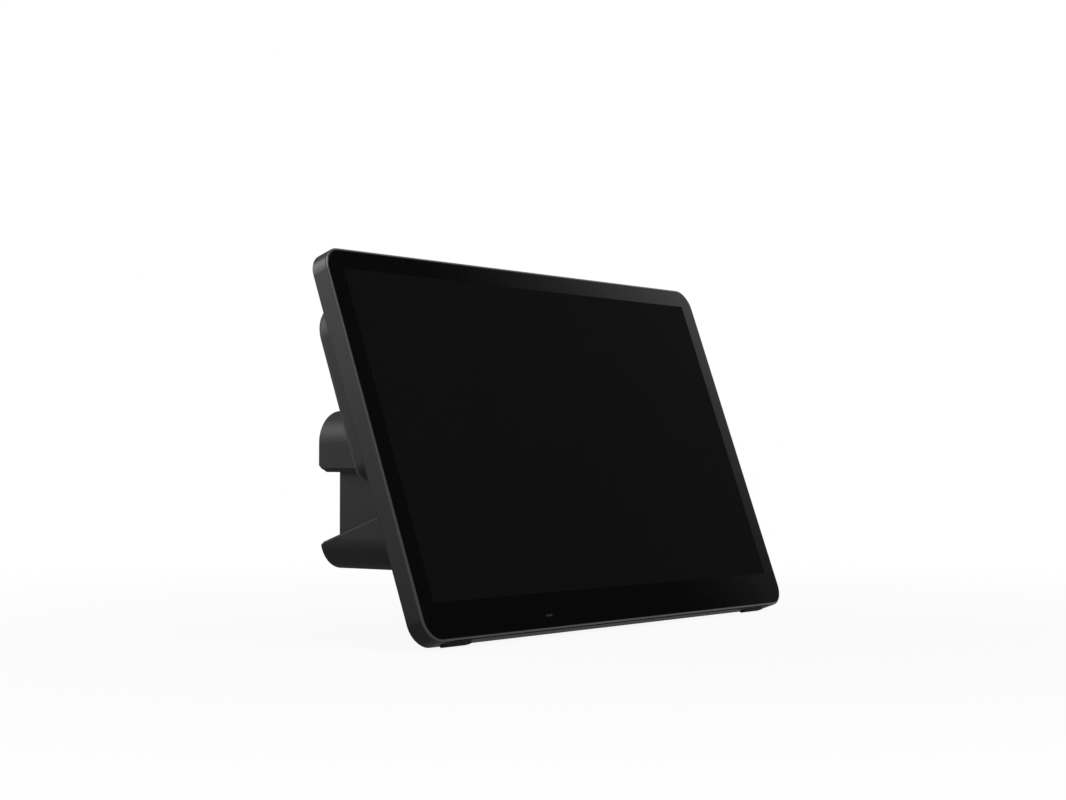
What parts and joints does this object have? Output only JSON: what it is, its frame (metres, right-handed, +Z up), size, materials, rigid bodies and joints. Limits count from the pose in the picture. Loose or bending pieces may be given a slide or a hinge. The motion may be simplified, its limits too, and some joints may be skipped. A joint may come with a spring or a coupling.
{
  "type": "desk touch console",
  "caption": "Tabletop touch console: a wide black glass display that leans back and tilts on a friction hinge, carried by a weighted stand with network sockets at the back.",
  "frame": {"origin": "centre of the underside of the stand's rubber pad, on the table", "axes": "+X along the width to the right as seen from the front, +Y to the back, +Z up; the glass faces -Y and leans back"},
  "size_m": [0.2764, 0.0946, 0.162],
  "materials": {
    "frame_plastic": "fine matte moulded black",
    "housing_plastic": "fine matte moulded black",
    "stand_plastic": "fine matte moulded black",
    "black_glass": "gloss, black printed behind",
    "display_panel": "dark display, switched off",
    "rubber": "matte",
    "aluminium": "mill",
    "shield_metal": "tinned",
    "circuit_board": "solder mask",
    "chip_plastic": "moulded",
    "speaker_plastic": "moulded",
    "socket_plastic": "moulded",
    "steel": "ground",
    "black_steel": "black oxide",
    "weight_steel": "as cast"
  },
  "bodies": {
    "stand": {"stand_head": "stand_plastic", "hinge_shaft_left": "steel", "hinge_shaft_right": "steel", "friction_washers": "steel", "stand_core": "stand_plastic", "io_board": "circuit_board", "lan_jack": "socket_plastic", "pc_jack": "socket_plastic", "foot_ledge": "stand_plastic", "pedestal_base": "stand_plastic", "base_weight": "weight_steel", "base_pad": "rubber", "stand_screws": "black_steel"},
    "display": {"mid_frame": "frame_plastic", "cover_glass": "black_glass", "glass_gasket": "rubber", "lcd_panel": "display_panel", "presence_sensor": "chip_plastic", "chassis_plate": "aluminium", "rear_cover": "frame_plastic", "rear_housing": "housing_plastic", "main_board": "circuit_board", "cpu_shield": "shield_metal", "heat_spreader": "aluminium", "board_chips": "chip_plastic", "board_screws": "steel", "speaker_left": "speaker_plastic", "speaker_right": "speaker_plastic", "microphones": "shield_metal", "wifi_antennas": "circuit_board", "foot_left": "rubber", "foot_right": "rubber", "hinge_ear_left": "black_steel", "hinge_ear_right": "black_steel", "ear_screws": "black_steel"}
  },
  "joints": [
    {"name": "display_tilt", "type": "hinge", "parent": "stand", "child": "display", "pos_m": [0, 0.0113, 0.08394], "axis": [-1, 0, 0], "range_deg": [0, 25]}
  ]
}
